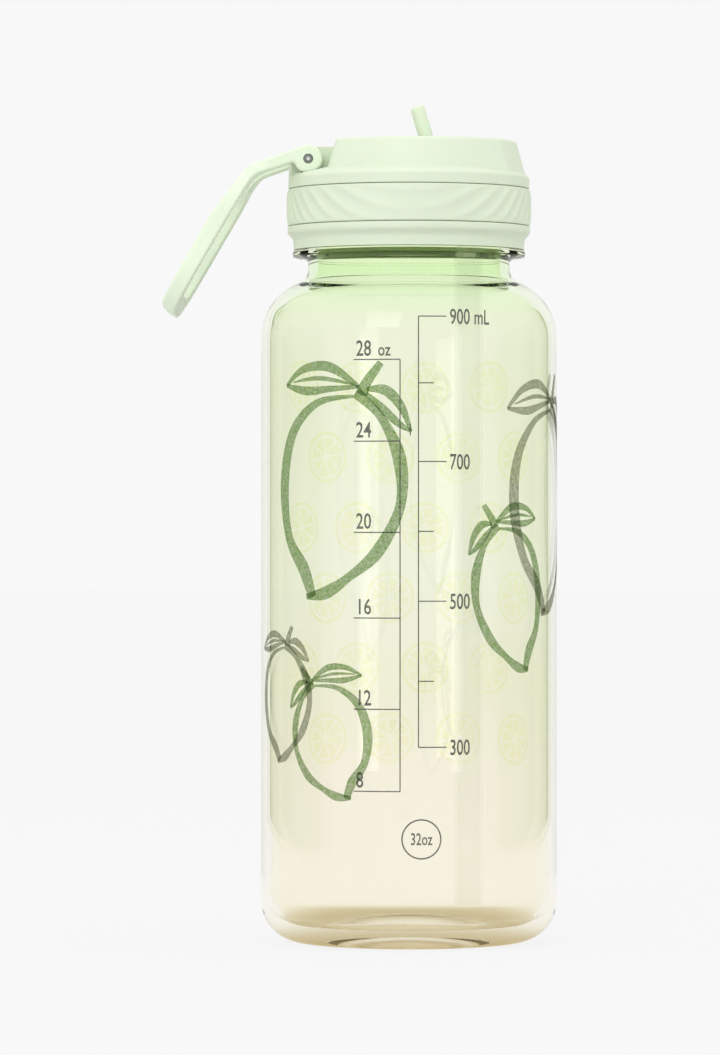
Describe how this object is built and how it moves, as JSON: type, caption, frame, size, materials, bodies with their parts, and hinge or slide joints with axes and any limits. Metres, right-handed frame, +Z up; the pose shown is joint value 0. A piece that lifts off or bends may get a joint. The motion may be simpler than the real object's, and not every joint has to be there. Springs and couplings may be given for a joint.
{
  "type": "water bottle",
  "caption": "Clear glass water bottle with a screw lid, a flip-up drinking spout on a straw, a vent valve and a wide swinging carry loop hinged at the lid's edge.",
  "frame": {"origin": "centre of the ring that the bottle stands on", "axes": "+Z up the bottle's axis, -Y towards the printed front, -X towards the carry loop's hinge"},
  "size_m": [0.1145, 0.0864, 0.2444],
  "materials": {
    "clear_glass": "clear, polished",
    "soft_seal": "soft matte silicone",
    "lid_plastic": "matte moulded",
    "straw_plastic": "satin, slightly translucent",
    "loop_plastic": "matte moulded",
    "pin_plastic": "satin moulded"
  },
  "bodies": {
    "bottle": {"bottle_body": "clear_glass"},
    "seal": {"lid_gasket": "soft_seal"},
    "lid": {"screw_collar": "lid_plastic", "grip_ring": "lid_plastic", "lid_cover": "lid_plastic", "straw_socket": "lid_plastic", "port_seal": "soft_seal", "vent_valve": "soft_seal", "straw": "straw_plastic", "loop_pin": "pin_plastic"},
    "loop": {"carry_loop": "loop_plastic"},
    "spout": {"spout_barrel": "lid_plastic", "spout_pins": "pin_plastic", "spout_mouthpiece": "soft_seal"}
  },
  "joints": [
    {"name": "lid_rise", "type": "slide", "parent": "bottle", "child": "seal", "axis": [0, 0, 1], "range_m": [0, 0.00675]},
    {"name": "lid_turn", "type": "hinge", "parent": "seal", "child": "lid", "pos_m": [0, 0, 0.219], "axis": [0, 0, 1], "range_deg": [0, 540.5]},
    {"name": "loop_swing", "type": "hinge", "parent": "lid", "child": "loop", "pos_m": [-0.0293, 0, 0.22795], "axis": [0, -1, 0], "range_deg": [-130, 20]},
    {"name": "spout_fold", "type": "hinge", "parent": "lid", "child": "spout", "pos_m": [0.00695, 0, 0.2286], "axis": [0, -1, 0], "range_deg": [0, 73]}
  ],
  "couplings": [
    {"joint": "lid_turn", "follows": "lid_rise", "rad_per_m": 1396.3}
  ]
}
